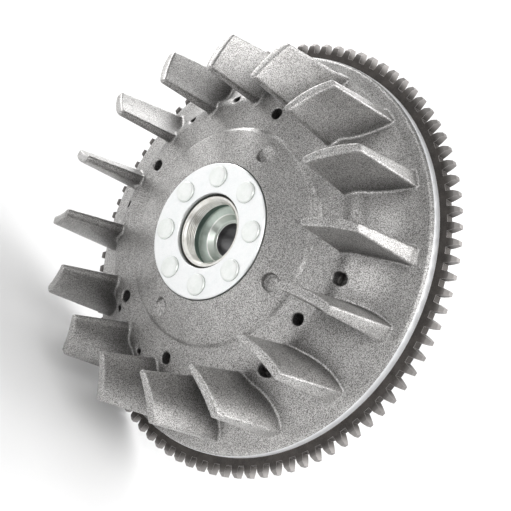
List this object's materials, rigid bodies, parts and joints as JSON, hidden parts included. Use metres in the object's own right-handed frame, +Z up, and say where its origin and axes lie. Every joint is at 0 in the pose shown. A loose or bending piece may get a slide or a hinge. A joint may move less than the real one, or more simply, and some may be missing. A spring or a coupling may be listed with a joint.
{
  "type": "fan flywheel with starter ring gear",
  "caption": "Fan-cooled magneto flywheel: die-cast fan disc with curved blades, riveted steel taper hub, threaded puller collar, magnet ring and toothed starter ring.",
  "frame": {"origin": "on the spin axis at the gauge plane of the crank taper, its large end, at the hub's back face", "axes": "the wheel spins about Y; +Y points to the crankshaft and the magnet side, -Y to the fan side; +Z is up with a fan blade at the top"},
  "size_m": [0.182, 0.0614, 0.182],
  "materials": {
    "cast_aluminium": "shot-blasted die casting",
    "blackened_steel": "hardened and blackened teeth",
    "zinc_steel": "machined, clear zinc plate",
    "bright_zinc": "bright zinc plate",
    "rivet_zinc": "bright zinc plate, upset heads",
    "bare_steel": "bare mild steel",
    "liner_steel": "thin drawn steel",
    "ferrite": "sintered ferrite",
    "spacer_plastic": "moulded"
  },
  "bodies": {
    "root": {"fan_rotor": "cast_aluminium", "starter_ring_gear": "blackened_steel", "hub": "zinc_steel", "clamp_plate": "bright_zinc", "hub_rivets": "rivet_zinc", "flux_ring": "bare_steel", "magnet_liner": "liner_steel", "magnet_1": "ferrite", "magnet_spacer_1": "spacer_plastic", "magnet_2": "ferrite", "magnet_spacer_2": "spacer_plastic", "magnet_3": "ferrite", "magnet_spacer_3": "spacer_plastic", "magnet_4": "ferrite", "magnet_spacer_4": "spacer_plastic", "magnet_5": "ferrite", "magnet_spacer_5": "spacer_plastic", "magnet_6": "ferrite", "magnet_spacer_6": "spacer_plastic"}
  },
  "joints": []
}
